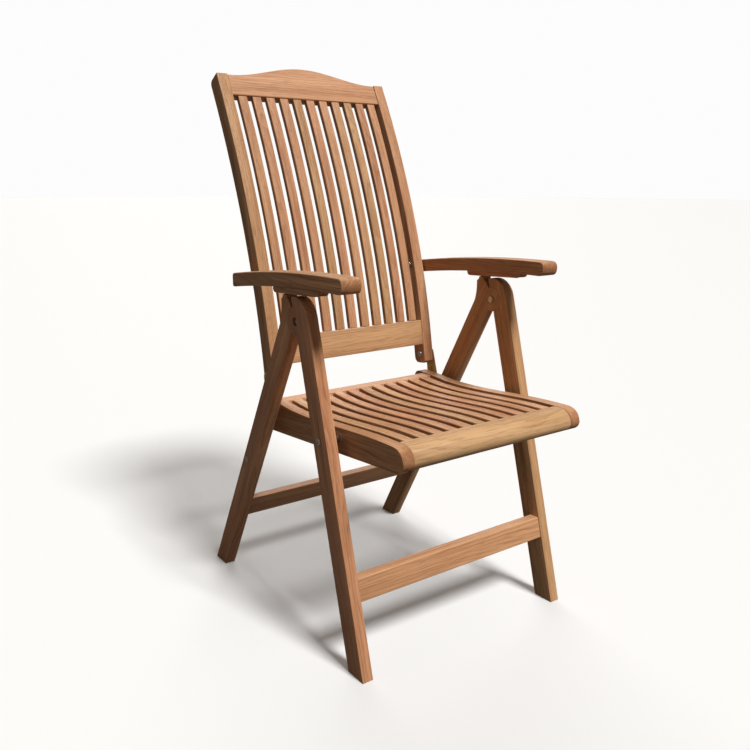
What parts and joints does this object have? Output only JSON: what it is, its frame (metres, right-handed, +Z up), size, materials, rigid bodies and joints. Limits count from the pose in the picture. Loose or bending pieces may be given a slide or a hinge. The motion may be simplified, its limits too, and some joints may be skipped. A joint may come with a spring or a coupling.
{
  "type": "folding armchair",
  "caption": "Slatted wooden folding armchair with crossed legs, a curved reclining back, notched racks under flat arms and brass hinge plates.",
  "frame": {"origin": "on the floor, under the middle of the open chair's bounding box", "axes": "+Z up, -Y to the front where the sitter faces, X across the chair with +X on the sitter's left; left and right in node names are as seen from the front"},
  "size_m": [0.533, 0.7062, 1.1454],
  "materials": {
    "leg_teak": "satin",
    "seat_teak": "satin",
    "back_teak": "satin",
    "brass_plate": "satin",
    "steel_bolt": "polished"
  },
  "bodies": {
    "front_frame": {"front_leg_left": "leg_teak", "front_leg_right": "leg_teak", "front_stretcher": "leg_teak", "apex_bolt_left": "steel_bolt", "apex_bolt_right": "steel_bolt", "seat_bolt_left": "steel_bolt", "seat_bolt_right": "steel_bolt"},
    "rear_frame": {"rear_leg_left": "leg_teak", "rear_leg_right": "leg_teak", "rear_stretcher": "leg_teak", "link_leg_bolt_left": "steel_bolt", "link_leg_bolt_right": "steel_bolt"},
    "seat": {"seat_rail_left": "seat_teak", "seat_rail_right": "seat_teak", "seat_front_rail": "seat_teak", "seat_rear_rail": "seat_teak", "seat_slat_01": "seat_teak", "seat_slat_02": "seat_teak", "seat_slat_03": "seat_teak", "seat_slat_04": "seat_teak", "seat_slat_05": "seat_teak", "seat_slat_06": "seat_teak", "seat_slat_07": "seat_teak", "seat_slat_08": "seat_teak", "seat_slat_09": "seat_teak", "seat_slat_10": "seat_teak", "seat_slat_11": "seat_teak", "plate_bolt_left": "steel_bolt", "plate_bolt_right": "steel_bolt", "link_seat_bolt_left": "steel_bolt", "link_seat_bolt_right": "steel_bolt"},
    "seat_links": {"seat_link_left": "brass_plate", "seat_link_right": "brass_plate"},
    "hinge_plates": {"hinge_plate_left": "brass_plate", "hinge_plate_right": "brass_plate", "back_bolt_left": "steel_bolt", "back_bolt_right": "steel_bolt"},
    "back": {"back_stile_left": "back_teak", "back_stile_right": "back_teak", "back_lower_rail": "back_teak", "crest_rail": "back_teak", "back_slat_01": "back_teak", "back_slat_02": "back_teak", "back_slat_03": "back_teak", "back_slat_04": "back_teak", "back_slat_05": "back_teak", "back_slat_06": "back_teak", "back_slat_07": "back_teak", "back_slat_08": "back_teak", "back_slat_09": "back_teak", "back_slat_10": "back_teak", "back_slat_11": "back_teak", "arm_washer_left": "brass_plate", "arm_washer_right": "brass_plate"},
    "arm_left": {"arm_left": "back_teak", "arm_rack_left": "leg_teak", "arm_bolt_left": "steel_bolt"},
    "arm_right": {"arm_right": "back_teak", "arm_rack_right": "leg_teak", "arm_bolt_right": "steel_bolt"}
  },
  "joints": [
    {"name": "leg_fold", "type": "hinge", "parent": "front_frame", "child": "rear_frame", "pos_m": [0, -0.07008, 0.642], "axis": [-1, 0, 0], "range_deg": [0, 39.5]},
    {"name": "seat_fold", "type": "hinge", "parent": "front_frame", "child": "seat", "pos_m": [0, -0.14908, 0.428], "axis": [-1, 0, 0], "range_deg": [0, 64.1]},
    {"name": "link_fold", "type": "hinge", "parent": "rear_frame", "child": "seat_links", "pos_m": [0, 0.15192, 0.305], "axis": [-1, 0, 0], "range_deg": [0, 114.6]},
    {"name": "back_recline", "type": "hinge", "parent": "seat", "child": "hinge_plates", "pos_m": [0, 0.10592, 0.428], "axis": [-1, 0, 0], "range_deg": [0, 25]},
    {"name": "back_fold", "type": "hinge", "parent": "hinge_plates", "child": "back", "pos_m": [0, 0.11952, 0.4897], "axis": [1, 0, 0], "range_deg": [0, 90.1]},
    {"name": "arm_fold_left", "type": "hinge", "parent": "back", "child": "arm_left", "pos_m": [0, 0.16742, 0.7012], "axis": [-1, 0, 0], "range_deg": [0, 150.1]},
    {"name": "arm_fold_right", "type": "hinge", "parent": "back", "child": "arm_right", "pos_m": [0, 0.16742, 0.7012], "axis": [-1, 0, 0], "range_deg": [0, 150.1]}
  ],
  "couplings": [
    {"joint": "seat_fold", "follows": "leg_fold", "ratio": 1.6202},
    {"joint": "link_fold", "follows": "leg_fold", "ratio": 2.8987},
    {"joint": "back_fold", "follows": "leg_fold", "ratio": 2.2785},
    {"joint": "arm_fold_left", "follows": "leg_fold", "ratio": 3.7975},
    {"joint": "arm_fold_right", "follows": "leg_fold", "ratio": 3.7975}
  ]
}
